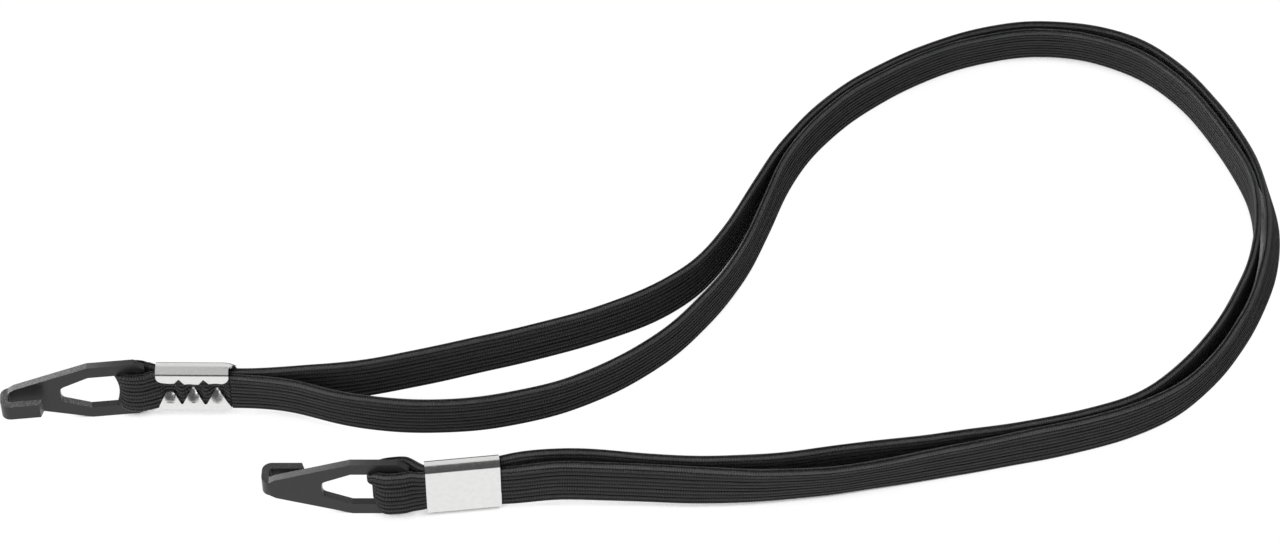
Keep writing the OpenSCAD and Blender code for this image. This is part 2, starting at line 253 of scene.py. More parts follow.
def tube_faces(rings, sides, along, around):
    """Quads of a closed tube of rings, a cap at each end, and the corners' band places.

    along has a value for each ring; around has one for each side and one more at the end,
    where the tube closes on itself."""
    i, j = np.meshgrid(np.arange(rings - 1), np.arange(sides), indexing="ij")
    n = (j + 1) % sides
    quads = np.stack([i * sides + j, i * sides + n, (i + 1) * sides + n, (i + 1) * sides + j], -1)
    u = np.stack([along[i], along[i], along[i + 1], along[i + 1]], -1)
    v = np.stack([around[j], around[j + 1], around[j + 1], around[j]], -1)
    faces = [tuple(q) for q in quads.reshape(-1, 4).tolist()]
    spots = list(np.stack([u, v], -1).reshape(-1, 4, 2))
    first = tuple(range(sides - 1, -1, -1))
    last = tuple((rings - 1) * sides + k for k in range(sides))
    faces += [first, last]
    spots += [
        np.stack([np.full(sides, along[0]), around[:sides][::-1]], -1),
        np.stack([np.full(sides, along[-1]), around[:sides]], -1),
    ]
    return faces, spots


def smoothstep(low, high, x):
    """0 below low, 1 above high, and the cubic 3t^2 - 2t^3 between them."""
    t = np.clip((x - low) / (high - low), 0, 1)
    return t * t * (3 - 2 * t)


def add_values(piece, name, values, domain="POINT"):
    """A number for each vertex, or each face, for the piece's material to read."""
    piece.data.attributes.new(name, "FLOAT", domain).data.foreach_set(
        "value", np.ascontiguousarray(values, np.float32).ravel()
    )


def mark_ribs(piece, place, rings):
    """Stores, for each vertex of a band, how deep the nearest groove is and how near the
    vertex is to the closely woven upper edge. place is the section's, without its end."""
    ribs = len(GROOVES)
    nearest = np.round(place).astype(int) % ribs
    from_top = np.abs(place - ribs / 2)
    add_values(piece, "groove", np.tile(GROOVES[nearest], rings))
    add_values(piece, "selvedge", np.tile(1 - smoothstep(1.2, 2.0, from_top), rings))


def ripple(s, length, seed):
    """A smooth wander from -1 to 1: three sines of unlike lengths with phases from seed."""
    phases = np.array([1.3, 2.9, 4.1]) * seed
    waves = length * np.array([1.0, 0.62, 1.71])
    return np.sin(s[:, None] / waves * 2 * math.pi + phases).mean(1)


def even(line, step):
    """The polyline resampled at equal steps of about that length, and the steps' lengths."""
    pieces = np.linalg.norm(np.diff(line[:, :2], axis=0), axis=1)
    s = np.concatenate([[0], np.cumsum(pieces)])
    at = np.linspace(0, s[-1], max(2, round(s[-1] / step)) + 1)
    return np.stack([np.interp(at, s, line[:, k]) for k in range(line.shape[1])], 1), at


def travel(line):
    """Unit directions along a polyline in x and y, by central differences."""
    d = np.gradient(line[:, :2], axis=0)
    return d / np.linalg.norm(d, axis=1, keepdims=True)


def in_place(points, end):
    """Points from an end's own frame to the strap's frame: turned over about x if the end
    is, turned about z by the end's turn, then moved to its end bar."""
    p = np.array(points, float)
    if end["over"]:
        p[..., 1] *= -1
        p[..., 2] *= -1
    a = math.radians(end["turn"])
    x = p[..., 0] * math.cos(a) - p[..., 1] * math.sin(a)
    y = p[..., 0] * math.sin(a) + p[..., 1] * math.cos(a)
    return np.stack([x, y, p[..., 2]], -1) + np.array(end["bar"])


def finished(piece, node, body=None):
    """Hides the CAD node that a piece stands for, and hangs the piece on the body that it rides on,
    if one is given.
    """
    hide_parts(node)
    if body:
        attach(piece, body)
    return piece


# ---------------------------------------------------------------- the band


def band_section(width, thickness, depth):
    """The band's section: a rectangle with rounded edges that carries 20 ribs.

    Returns (across, up, place), where place counts the ribs round the section from the
    middle of the lower edge. With f the share of the way across a rib, the surface
    stands depth * (1 - |2f - 1|^3) above the core, and a groove's floor is raised by
    1 minus its own depth."""
    ribs = len(GROOVES)
    shares = np.array([0, 0.1, 0.3, 0.5, 0.7, 0.9])
    half, high = thickness / 2 - depth, width / 2 - depth
    r = min(half * 0.98, 0.00022)
    turn = np.linspace(0, math.pi / 2, 9)
    corners = []
    for cx, cy, start in ((half - r, r - high, -math.pi / 2), (half - r, high - r, 0),
                          (r - half, high - r, math.pi / 2), (r - half, r - high, math.pi)):
        corners.append(np.stack([cx + r * np.cos(start + turn), cy + r * np.sin(start + turn)], 1))
    loop = np.concatenate([[[0, -high]], *corners, [[0, -high]]])
    s = np.concatenate([[0], np.cumsum(np.linalg.norm(np.diff(loop, axis=0), axis=1))])
    place = (np.arange(ribs)[:, None] + shares).ravel()
    at = place / ribs * s[-1]
    a, h = np.interp(at, s, loop[:, 0]), np.interp(at, s, loop[:, 1])
    ahead = [np.interp((at + 1e-5) % s[-1], s, loop[:, k]) for k in (0, 1)]
    back = [np.interp((at - 1e-5) % s[-1], s, loop[:, k]) for k in (0, 1)]
    out = np.stack([ahead[1] - back[1], back[0] - ahead[0]], 1)
    out /= np.linalg.norm(out, axis=1, keepdims=True)
    f = np.tile(shares, ribs)
    rise = 1 - np.abs(2 * f - 1) ** 3
    floor = np.where(f == 0, 1 - np.repeat(GROOVES, len(shares)), 0)
    lift = depth * np.maximum(rise, floor)
    return a + out[:, 0] * lift, h + out[:, 1] * lift, np.append(place, ribs)


def strand_route(points, side):
    """The whole route of a strand: the mouth of the right clip, the points, and the mouth
    of the left clip. side is 1 for the strand on the inside of the right end."""
    mouths = []
    for end, s in ((ENDS["right"], -side), (ENDS["left"], side)):
        a = math.radians(end["turn"])
        far = end["gap"] + CLIP_LENGTH + MOUTH_GAP
        left = s * STRAND_OFFSET - end["aside"]
        x = end["bar"][0] + far * math.cos(a) - left * math.sin(a)
        y = end["bar"][1] + far * math.sin(a) + left * math.cos(a)
        mouths.append((x, y, 0, 1))
    return np.array([mouths[0], *points, mouths[1]], float)


def spline(c, u):
    """The uniform cubic B-spline of the rows of c at each u, which counts the rows. One
    more row is added past each end, so that the curve starts and ends on its end rows."""
    c = np.concatenate([[2 * c[0] - c[1]], c, [2 * c[-1] - c[-2]]])
    k = np.clip(np.floor(u).astype(int), 0, len(c) - 4)
    f = (u - k)[:, None]
    return ((1 - f) ** 3 * c[k] + (3 * f**3 - 6 * f**2 + 4) * c[k + 1]
            + (-3 * f**3 + 3 * f**2 + 3 * f + 1) * c[k + 2] + f**3 * c[k + 3]) / 6


def make_strand(name, points, side, settings, seed):
    """A ribbed band swept along its route, standing on its edge.

    At each ring the section leans over its lower edge by the lean angle: across goes to
    across * cos + up * sin along the inward normal, and up to up * cos - across * sin
    above the edge, which is lifted so that no corner goes under the floor. Next to the
    right clip the band is still a little squeezed: its width grows to full over 14 mm.
    Next to the left clip the inner strand sits 0.6 mm higher and the outer one lower."""
    control = strand_route(points, side)
    u = np.linspace(0, len(control) - 1, 6001)
    line, at = even(spline(control, u), 0.0009)
    d = travel(line)
    inward = np.stack([d[:, 1], -d[:, 0]], 1)
    fade = smoothstep(0, 0.012, at) * smoothstep(0, 0.012, at[-1] - at)
    lean = np.radians(line[:, 2] + 0.9 * fade * ripple(at, 0.031, seed))
    across, up, place = band_section(settings.width, settings.thickness, settings.rib_depth)
    half = settings.thickness / 2
    base = line[:, 3] * END_LIFT + half * np.abs(np.sin(lean))
    base = base + LEFT_SPREAD * side * (1 - smoothstep(0.001, 0.01, at[-1] - at))
    wander = 0.00006 * fade * ripple(at, 0.019, seed + 5)
    a = across[None, :] + wander[:, None]
    squeezed = 1 - RIGHT_SQUEEZE * (1 - smoothstep(0.001, 0.014, at))
    h = (up + settings.width / 2)[None, :] * squeezed[:, None]
    cos, sin = np.cos(lean)[:, None], np.sin(lean)[:, None]
    out = a * cos + h * sin
    x = line[:, :1] + inward[:, :1] * out
    y = line[:, 1:2] + inward[:, 1:] * out
    z = base[:, None] + h * cos - a * sin
    rings = np.stack([x, y, z], -1)
    faces, spots = tube_faces(len(line), len(across), at * 1000, place)
    piece = add_mesh(name, rings.reshape(-1, 3), faces, spots)
    mark_ribs(piece, place[:-1], len(line))
    return piece, rings.mean(1), at[-1]


def loop_line(end, thickness, pinched):
    """The middle line of the band round an end bar, in the end's frame.

    It runs from the clip's far end to its mouth, along the line that touches a circle
    round the bar, round that circle, straight to the nose's half circle, and back as the
    mirror image. A short average then softens where the parts meet."""
    r = end["width"] / 2 - thickness / 2
    gap, back = end["gap"], end["reach"] - end["width"] / 2
    y0 = pinched / 2
    mouth = math.hypot(gap, y0)
    touch = math.atan2(y0, gap) + math.acos(r / mouth)
    bar = np.linspace(touch, math.pi / 2, 12)
    nose = np.linspace(math.pi / 2, math.pi, 16)
    half = np.concatenate([
        [[gap + CLIP_LENGTH, y0], [gap + 0.0002, y0]],
        np.stack([r * np.cos(bar), r * np.sin(bar)], 1),
        np.stack([r * np.cos(nose) - back, r * np.sin(nose)], 1),
    ])
    line, at = even(np.concatenate([half, half[-2::-1] * [1, -1]]), 0.0003)
    kernel = np.exp(-np.linspace(-2, 2, 9) ** 2 / 2)
    kernel /= kernel.sum()
    padded = np.pad(line, ((4, 4), (0, 0)), mode="reflect", reflect_type="odd")
    line = np.stack([np.convolve(padded[:, k], kernel, "valid") for k in (0, 1)], 1)
    return line, at


def make_eye_loop(name, end, settings, bow, lift, tilt):
    """The band folded round an end bar and pinched in the clip.

    Its section keeps the full width in front of and behind the hook's plate, and is
    squeezed where it goes through the eye. Towards the nose its rows stand out by
    bow(up), so that the edges bulge further than the middle. Between the nose and the
    clip the band sits higher by lift, and the upper edge of the layer on the outside
    leans in over the plate by tilt. Under the teeth the layer on the inside is dented."""
    line, at = loop_line(end, settings.thickness, settings.pinched)
    d = travel(line)
    normal = np.stack([d[:, 1], -d[:, 0]], 1)
    across, up, place = band_section(settings.width, settings.thickness, settings.rib_depth)
    free = np.maximum(smoothstep(0.0005, 0.0016, np.abs(line[:, 1])),
                      smoothstep(0.0002, 0.0014, line[:, 0]))
    narrow = settings.eye_width / settings.width
    wide = narrow + (1 - narrow) * free
    in_clip = smoothstep(end["gap"] - 0.0006, end["gap"], line[:, 0])
    thin = 1 + (settings.pinched / settings.thickness - 1) * in_clip
    r = end["width"] / 2 - settings.thickness / 2
    nose = np.clip((end["width"] / 2 - end["reach"] - line[:, 0]) / r, 0, 1) ** 2
    h = up[None, :] * wide[:, None]
    out = across[None, :] * thin[:, None]
    x = line[:, :1] + normal[:, :1] * out - nose[:, None] * bow(h)
    y = line[:, 1:2] + normal[:, 1:] * out
    loose = 1 - smoothstep(0.0005, end["gap"], line[:, 0])[:, None]
    outside = smoothstep(0, 0.0014, -line[:, 1])[:, None]
    y = y + tilt * loose * outside * smoothstep(-0.002, 0.004, h)
    y = y - end["aside"] * (1 - loose)
    h = h + lift * loose
    outer = (y + end["aside"] > settings.pinched * 0.6) & (line[:, :1] > end["gap"])
    y = y - np.where(outer, bite_dent(x - end["gap"], h, settings.pinched), 0)
    rings = in_place(np.stack([x, y, h], -1), end)
    faces, spots = tube_faces(len(line), len(across), at * 1000, place)
    piece = add_mesh(name, rings.reshape(-1, 3), faces, spots)
    mark_ribs(piece, place[:-1], len(line))
    return piece


def bite_dent(x, up, pinched):
    """How far the teeth press the band in, at a place x along the clip and up its width.

    Each tooth presses from above its root to just past its tip, most at its middle line,
    and the band swells between the teeth."""
    from_tooth = np.abs((x / TOOTH_PITCH) % 1 - 0.5) * 2
    under = smoothstep(-0.0015, -0.0003, up) * (1 - smoothstep(0.0012, 0.0024, up))
    return pinched * under * (0.85 - 0.97 * smoothstep(0.3, 1.0, from_tooth))


def right_bow(up):
    """The right loop's nose: its edges stand out evenly, the top edge a little further.
    The end is turned over, so its top is at negative up."""
    return 0.0009 * (np.abs(up) / 0.0033) ** 2 * np.where(up < 0, 1.0, 0.7)


def left_bow(up):
    """The left loop's nose: the top quarter stands out in a step, the rest is straight."""
    return 0.0008 * smoothstep(0.0011, 0.0019, up) - 0.0004 * smoothstep(0.0018, 0.0034, -up)


# ---------------------------------------------------------------- the clips


def clip_path(settings, height, pinched, flap_edge, tooth_edge, rows):
    """The clip's folded sheet seen along the band, as its middle line and its normals.

    It runs from the short flap's edge, round the flap fold, along the bottom, round the
    back fold, up the plain back, and the same way over the top to the teeth. flap_edge
    and tooth_edge are the heights of the edges at each place along the clip. Returns y,
    z, normal y and normal z, each as (places along the clip, rows)."""
    t = settings.sheet
    y = pinched + t / 2
    z = height / 2 - t / 2
    flap_r, back_r = settings.flap_radius - t / 2, settings.back_radius - t / 2
    turn = np.linspace(0, math.pi / 2, rows)
    quarter = np.stack([np.sin(turn), np.cos(turn)], 1)
    n_flap = np.stack([quarter[:, 1], -quarter[:, 0]], 1)
    n_back = np.stack([-quarter[:, 0], -quarter[:, 1]], 1)
    low_flap = [y - flap_r, flap_r - z] + flap_r * n_flap
    low_back = [back_r - y, back_r - z] + back_r * n_back

    def both(flap_fold, back_fold):
        """The folds along the bottom, then their mirror images over the top."""
        low = np.concatenate([flap_fold, back_fold])
        return np.concatenate([low, low[::-1] * [1, -1]])

    fixed, n_fixed = both(low_flap, low_back), both(n_flap, n_back)
    share = np.linspace(0, 1, 2 * rows)[None, :]
    low_z = flap_edge[:, None] + (flap_r - z - flap_edge[:, None]) * share
    high_z = (z - flap_r) + (tooth_edge[:, None] - z + flap_r) * share
    shape = (len(flap_edge), 1)
    low = np.stack([np.full(low_z.shape, y), low_z], -1)[:, :-1]
    high = np.stack([np.full(high_z.shape, y), high_z], -1)[:, 1:]
    line = np.concatenate([low, np.tile(fixed, (*shape, 1)), high], 1)
    flat = np.tile([1.0, 0.0], (len(flap_edge), low.shape[1], 1))
    normal = np.concatenate([flat, np.tile(n_fixed, (*shape, 1)), flat], 1)
    return line, normal, high.shape[1]


def flap_edges(x, settings, top, teeth):
    """The heights of the short flap's edge and of the teeth at each x along the clip.

    The short flap's edge waves a little and hangs lower in the middle, with two
    triangular notches and rounded corners. teeth gives each tooth's middle, its length
    and half its tip's width. Its sides swell a little, as (1 - t)^0.85 with t from its
    tip to its root, the valleys between the teeth are blunt, and the outer sides of the
    outer teeth run on to the fold."""
    half = CLIP_LENGTH / 2
    fold = top - settings.flap_radius
    valley = np.where(np.abs(x) < TOOTH_PITCH, top - 0.0020, fold)
    flap = np.full(len(x), SHORT_FLAP - top)
    for k in (-0.5, 0.5):
        away = np.abs(x - k * TOOTH_PITCH - teeth[1][0])
        flap -= NOTCH_DEPTH * np.clip(1 - away / NOTCH_HALF_WIDTH, 0, 1) ** 0.9
    flap += 0.00016 * smoothstep(0.6 * TOOTH_PITCH, 0.3 * TOOTH_PITCH, np.abs(x)) - 0.00008
    flap += 0.00005 * np.sin(x / 0.0021 * 2 * math.pi)
    past = np.clip(np.abs(x) - (half - SHORT_FLAP_CORNER), 0, SHORT_FLAP_CORNER)
    flap -= SHORT_FLAP_CORNER - np.sqrt(np.maximum(SHORT_FLAP_CORNER**2 - past**2, 0))
    tooth = np.full(len(x), fold)
    for k, (middle, length, w) in enumerate(teeth):
        tip = top - length
        for side in (-1, 1):
            outer = k + side not in (0, 1, 2)
            root = fold if outer else top - 0.0015
            run = (half if outer else TOOTH_PITCH / 2) - abs(middle if outer else 0) - w
            d = (x - middle) * side
            t = np.clip((d - w) / run, 0, 1)
            here = (d >= 0) & (d <= w + run + 1e-7)
            tooth[here] = np.minimum(tooth[here], (root + (tip - root) * (1 - t) ** 0.85)[here])
    return flap, np.minimum(np.minimum(tooth, valley), fold - 0.00002)


def make_clip(name, end, settings, height, pinched, teeth, skew, seed):
    """A sheet folded round the band, with a notched flap and a toothed flap.

    Towards its tip each tooth bends inwards by bite * t^1.15 * (1 - 0.7 u^2), with t the
    share of the way from its middle to its tip and u that from its middle line to its
    side, so that it is hollow like a spoon. skew is how far the back's far corner stands
    out past the short flap, as it does where a clip was crimped askew. The sheet has an
    outer and an inner face half its thickness away from its middle line along the
    normals, joined all round."""
    half = CLIP_LENGTH / 2
    top = height / 2
    marks = [m + side * w for m, _, w in teeth for side in (-1, 1)]
    notches = [k * TOOTH_PITCH + teeth[1][0] + w * NOTCH_HALF_WIDTH
               for k in (-0.5, 0.5) for w in (-1, 0, 1)]
    x = np.unique(np.round(np.concatenate([np.linspace(-half, half, 141), marks, notches]), 7))
    flap, tooth = flap_edges(x, settings, top, teeth)
    line, normal, bent = clip_path(settings, height, pinched, flap, tooth, 9)
    z = line[:, -bent:, 1]
    low, high = top - BEND_START, top - BEND_END
    t = np.clip((low - z) / (low - high), 0, 1)
    nearest = np.abs(x[:, None] - np.array([m for m, _, _ in teeth])).min(1)[:, None]
    dish = 1 - 0.7 * np.clip(nearest / (TOOTH_PITCH / 2), 0, 1) ** 2
    line[:, -bent:, 0] -= settings.bite * t**1.15 * dish
    normal[:, -bent:, 1] = settings.bite * 1.15 * t**0.15 * dish / (low - high)
    normal[:, -bent:] /= np.linalg.norm(normal[:, -bent:], axis=-1, keepdims=True)
    # The crimped back is never quite flat: it swells and sinks by a hundredth of a mm.
    swell = 0.000012 * ripple(x, 0.006, seed)[:, None] * np.cos(line[..., 1] / 0.0031)
    line[..., 0] += np.where(normal[..., 0] < -0.9, swell, 0)
    # The upper corner of the back past the flap, which sinks a little as it stands out.
    corner = smoothstep(pinched * 0.6, -pinched, line[..., 0]) * smoothstep(0, -0.003, line[..., 1])
    corner *= smoothstep(half * 0.8, half, x)[:, None]
    line[..., 1] += 0.5 * skew * corner**2
    along = x[:, None] + skew * corner
    along = along + end["gap"] + half
    layers = [np.stack([along, line[..., 0] + k * normal[..., 0] - end["aside"],
                        line[..., 1] + k * normal[..., 1]], -1)
              for k in (settings.sheet / 2, -settings.sheet / 2)]
    rows, cols = line.shape[:2]
    points = in_place(np.concatenate([m.reshape(-1, 3) for m in layers]), end)
    i, j = np.meshgrid(np.arange(rows - 1), np.arange(cols - 1), indexing="ij")
    q = np.stack([i * cols + j, i * cols + j + 1, (i + 1) * cols + j + 1, (i + 1) * cols + j], -1)
    q = q.reshape(-1, 4)
    ring = np.concatenate([
        np.arange(cols), np.arange(1, rows) * cols + cols - 1,
        (rows - 1) * cols + np.arange(cols - 2, -1, -1), np.arange(rows - 2, 0, -1) * cols,
    ])
    after, under = np.roll(ring, -1), rows * cols
    rim = np.stack([ring, ring + under, after + under, after], 1)
    faces = np.concatenate([q, q[:, ::-1] + under, rim])
    piece = add_mesh(name, points, [tuple(f) for f in faces.tolist()])
    piece.data.set_sharp_from_angle(angle=math.radians(40))
    return piece


# ---------------------------------------------------------------- the hooks


def make_hook(name, node, bar, wear_and_highlight, settings):
    """A copy of the hook's solid with every edge rounded, as a moulding has them.

    A face attribute holds how far each face is lightened, partly as worn plastic and partly as
    painted highlight: fully on the rounding and 0.6 of it on the plate's narrow sides. It is 0 on
    its two faces, which look along y, and in the band's loop round the bar."""
    mesh = bpy.data.meshes.new(name)
    work = bmesh.new()
    work.from_mesh(frame["nodes"][node].data)
    bmesh.ops.remove_doubles(work, verts=work.verts, dist=0.000002)
    bmesh.ops.recalc_face_normals(work, faces=work.faces)
    bmesh.ops.dissolve_limit(
        work, angle_limit=math.radians(1), verts=work.verts, edges=work.edges
    )
    corners = [e for e in work.edges if e.calc_face_angle(0) > math.radians(28)]
    rounding = set(bmesh.ops.bevel(
        work, geom=corners, offset=settings.edge, offset_type="OFFSET", segments=4,
        profile=0.5, affect="EDGES", clamp_overlap=True,
    )["faces"])
    work.normal_update()
    rubbed_and_lit = []
    for f in work.faces:
        side = 1.0 if f in rounding else 0.6 * (1 - smoothstep(0.3, 0.7, abs(f.normal.y)))
        away = (f.calc_center_median() - Vector(bar)).xy.length
        rubbed_and_lit.append(wear_and_highlight * side * smoothstep(0.006, 0.009, away))
    work.to_mesh(mesh)
    work.free()
    mesh.polygons.foreach_set("use_smooth", [True] * len(mesh.polygons))
    piece = bpy.data.objects.new(name, mesh)
    bpy.context.scene.collection.objects.link(piece)
    add_values(piece, "rub_and_highlight", rubbed_and_lit, "FACE")
    flat = piece.modifiers.new("Flat faces", "WEIGHTED_NORMAL")
    flat.mode = "FACE_AREA"
    flat.weight = 60
    return piece


# ---------------------------------------------------------------- materials


def link(tree, a, b):
    tree.links.new(a, b)


def math_node(tree, operation, a, b=None, clamp=False):
    """A Math node whose inputs are sockets or numbers. Returns its output."""
    node = tree.nodes.new("ShaderNodeMath")
    node.operation = operation
    node.use_clamp = clamp
    for socket, value in zip(node.inputs, (a, b)):
        if value is None:
            continue
        if isinstance(value, (int, float)):
            socket.default_value = value
        else:
            link(tree, value, socket)
    return node.outputs[0]


def ramp(tree, value, low, high, smooth=True):
    """Value mapped to 0..1 between low and high."""
    node = tree.nodes.new("ShaderNodeMapRange")
    node.interpolation_type = "SMOOTHSTEP" if smooth else "LINEAR"
    node.inputs["From Min"].default_value = low
    node.inputs["From Max"].default_value = high
    link(tree, value, node.inputs["Value"])
    return node.outputs["Result"]


def noise(tree, vector, scale, detail=3.0, roughness=0.55):
    node = tree.nodes.new("ShaderNodeTexNoise")
    node.inputs["Scale"].default_value = scale
    node.inputs["Detail"].default_value = detail
    node.inputs["Roughness"].default_value = roughness
    link(tree, vector, node.inputs["Vector"])
    return node.outputs["Fac"]


def white(tree, value):
    """A random number for each whole value."""
    node = tree.nodes.new("ShaderNodeTexWhiteNoise")
    node.noise_dimensions = "1D"
    link(tree, value, node.inputs["W"])
    return node.outputs["Value"]


def combine(tree, x, y, z=0.0):
    node = tree.nodes.new("ShaderNodeCombineXYZ")
    for socket, value in zip(node.inputs, (x, y, z)):
        if isinstance(value, (int, float)):
            socket.default_value = value
        else:
            link(tree, value, socket)
    return node.outputs[0]


def mix_colour(tree, factor, a, b):
    """a where factor is 0, b where it is 1. a and b are colours or sockets."""
    node = tree.nodes.new("ShaderNodeMix")
    node.data_type = "RGBA"
    link(tree, factor, node.inputs["Factor"])
    for socket, value in ((node.inputs["A"], a), (node.inputs["B"], b)):
        if isinstance(value, bpy.types.NodeSocket):
            link(tree, value, socket)
        else:
            socket.default_value = (*value, 1)
    return node.outputs["Result"]


def new_group(name, inputs, outputs):
    """An empty shader node group with named sockets. Returns the group and its two ends."""
    group = bpy.data.node_groups.new(name, "ShaderNodeTree")
    for label, kind, default in inputs:
        socket = group.interface.new_socket(name=label, in_out="INPUT", socket_type=kind)
        if default is not None:
            socket.default_value = default
    for label, kind in outputs:
        group.interface.new_socket(name=label, in_out="OUTPUT", socket_type=kind)
    return group, group.nodes.new("NodeGroupInput"), group.nodes.new("NodeGroupOutput")


def braid_group():
    """Braided ribs, from a band place (millimetres along, ribs round).

    Deep is how deep the nearest groove is, and Selvedge is 1 at the closely woven edge.
    Groove is 1 down between two ribs, broken where threads cross it, and the material paints shade
    there. Crest is 1 on the middle of a rib and on each of its short stitches, which have a phase
    and slant of their own on every rib, and the material paints highlight there. Rib is a random
    number for each rib, one output marks light speckles, partly raised fibres and partly painted
    sheen, denser at the woven edge, another is 1 on the painted highlight along the crests of the
    woven edge's two corner ribs, and Height puts the ribs, stitches, grooves and fuzz together."""
    group, given, put = new_group(
        "Braided ribs",
        [("Place", "NodeSocketVector", None), ("Deep", "NodeSocketFloat", 0.5),
         ("Selvedge", "NodeSocketFloat", 0.0), ("Stitch", "NodeSocketFloat", 0.4),
         ("Slant", "NodeSocketFloat", 0.3)],
        [("Height", "NodeSocketFloat"), ("Groove", "NodeSocketFloat"), ("Crest", "NodeSocketFloat"),
         ("Rib", "NodeSocketFloat"), ("Lint and sheen", "NodeSocketFloat"), ("Corner highlight", "NodeSocketFloat")],
    )
    t = group

    def times(a, b):
        return math_node(t, "MULTIPLY", a, b)

    def plus(a, b):
        return math_node(t, "ADD", a, b)

    split = t.nodes.new("ShaderNodeSeparateXYZ")
    link(t, given.outputs["Place"], split.inputs[0])
    u = split.outputs[0]
    # The ribs wander a little, by up to a seventh of their pitch.
    sway = noise(t, combine(t, times(u, 0.13), times(split.outputs[1], 0.6)), 1.0, 2.0)
    v = plus(split.outputs[1], times(plus(sway, -0.5), 0.5))
    f = math_node(t, "FRACT", v)
    rib = math_node(t, "FLOOR", v)
    rib_random = white(t, plus(rib, 0.5))
    off = math_node(t, "ABSOLUTE", plus(times(f, 2.0), -1.0))
    crest = math_node(t, "SUBTRACT", 1.0, math_node(t, "POWER", off, 1.6))
    # Stitches: a cosine along the rib, slanted one way on even ribs, the other on odd.
    sign = plus(times(math_node(t, "MODULO", rib, 2.0), 2.0), -1.0)
    slant = times(times(plus(f, -0.5), sign), given.outputs["Slant"])
    stretch = noise(t, combine(t, times(u, 0.11), rib), 1.0, 2.0)
    turns = math_node(t, "DIVIDE", u, given.outputs["Stitch"])
    phase = plus(plus(turns, slant), plus(rib_random, times(stretch, 3.0)))
    wave = math_node(t, "COSINE", times(phase, 2 * math.pi))
    strong = noise(t, combine(t, times(u, 0.35), rib), 1.0, 2.0)
    tick = plus(times(times(wave, ramp(t, strong, 0.3, 0.6)), 0.5), 0.5)
    # Grooves: as deep as the band says, and broken by crossing threads. The material paints shade
    # in them.
    broken = noise(t, combine(t, times(u, 0.9), math_node(t, "ROUND", v)), 1.0, 4.0, 0.65)
    reach = plus(0.93, times(given.outputs["Deep"], -0.38))
    node = t.nodes.new("ShaderNodeMapRange")
    node.interpolation_type = "SMOOTHSTEP"
    link(t, off, node.inputs["Value"])
    link(t, reach, node.inputs["From Min"])
    link(t, plus(reach, 0.3), node.inputs["From Max"])
    slow = noise(t, combine(t, times(u, 0.045), times(math_node(t, "ROUND", v), 3.7)), 1.0, 2.0)
    cut = times(node.outputs["Result"], plus(times(given.outputs["Deep"], 0.85), 0.15))
    cut = times(cut, plus(times(ramp(t, slow, 0.35, 0.6), 0.6), 0.4))
    crossed = plus(times(ramp(t, broken, 0.3, 0.5), 0.6), 0.4)
    groove = math_node(t, "MULTIPLY", cut, crossed, clamp=True)
    spots = noise(t, combine(t, times(u, 3.3), times(v, 2.6)), 1.0, 2.0, 0.7)
    # Light speckles: partly raised fibres, partly painted sheen, denser and stronger at the upper
    # edge, which faces up.
    stray = ramp(t, plus(spots, times(given.outputs["Selvedge"], 0.12)), 0.56, 0.72)
    lint_and_sheen = times(stray, plus(times(given.outputs["Selvedge"], 0.3), 0.2))
    fuzz = noise(t, combine(t, times(u, 6.0), times(v, 5.0)), 1.0, 3.0)
    height = plus(times(crest, 0.5), times(times(tick, crest), 0.5))
    height = plus(plus(height, times(fuzz, 0.2)), times(groove, -0.7))
    # Where the material paints highlight: the rib crests and their stitches.
    crest_light_and_shade = math_node(t, "MULTIPLY", crest, plus(times(tick, 0.75), 0.25), clamp=True)
    # The two ribs at the upper edge's corners get a thin painted highlight along the middle of
    # their crests.
    thin = ramp(t, math_node(t, "SUBTRACT", 1.0, off), 0.45, 0.8)
    at_edge = ramp(t, given.outputs["Selvedge"], 0.8, 1.0)
    corner_highlight = times(times(thin, at_edge), plus(times(tick, 0.7), 0.3))
    for name, value in (("Height", height), ("Groove", groove), ("Crest", crest_light_and_shade),
                        ("Rib", rib_random), ("Lint and sheen", lint_and_sheen), ("Corner highlight", corner_highlight)):
        link(t, value, put.inputs[name])
    return group


def grain_group():
    """Fine moulded or rolled grain on object coordinates: Grain is even fine noise and
    Patches is a slow one, each from 0 to 1."""
    group, given, put = new_group(
        "Surface grain",
        [("Fine", "NodeSocketFloat", 6000.0), ("Coarse", "NodeSocketFloat", 300.0)],
        [("Grain", "NodeSocketFloat"), ("Patches", "NodeSocketFloat")],
    )
    t = group
    place = t.nodes.new("ShaderNodeTexCoord").outputs["Object"]
    for label, size, detail in (("Grain", "Fine", 4.0), ("Patches", "Coarse", 3.0)):
        node = t.nodes.new("ShaderNodeTexNoise")
        node.inputs["Detail"].default_value = detail
        link(t, place, node.inputs["Vector"])
        link(t, given.outputs[size], node.inputs["Scale"])
        link(t, ramp(t, node.outputs["Fac"], 0.3, 0.7, smooth=False), put.inputs[label])
    return group


def new_material(name):
    """A material with an empty tree, its Principled BSDF and its tree."""
    material = bpy.data.materials.new(name)
    material.use_nodes = True
    tree = material.node_tree
    return material, tree.nodes["Principled BSDF"], tree


def add_group(tree, group, **values):
    node = tree.nodes.new("ShaderNodeGroup")
    node.node_tree = group
    for label, value in values.items():
        node.inputs[label].default_value = value
    return node


def shade(colour, share):
    """A colour made darker or lighter by the share."""
    return tuple(share * c for c in colour)


def stored(tree, name):
    """The piece's own attribute of that name."""
    node = tree.nodes.new("ShaderNodeAttribute")
    node.attribute_name = name
    return node.outputs["Fac"]


def vary_roughness(tree, shader, patches, low, high):
    """Roughness from low to high over the slow patches."""
    node = tree.nodes.new("ShaderNodeMapRange")
    node.inputs["To Min"].default_value = low
    node.inputs["To Max"].default_value = high
    link(tree, patches, node.inputs["Value"])
    link(tree, node.outputs["Result"], shader.inputs["Roughness"])


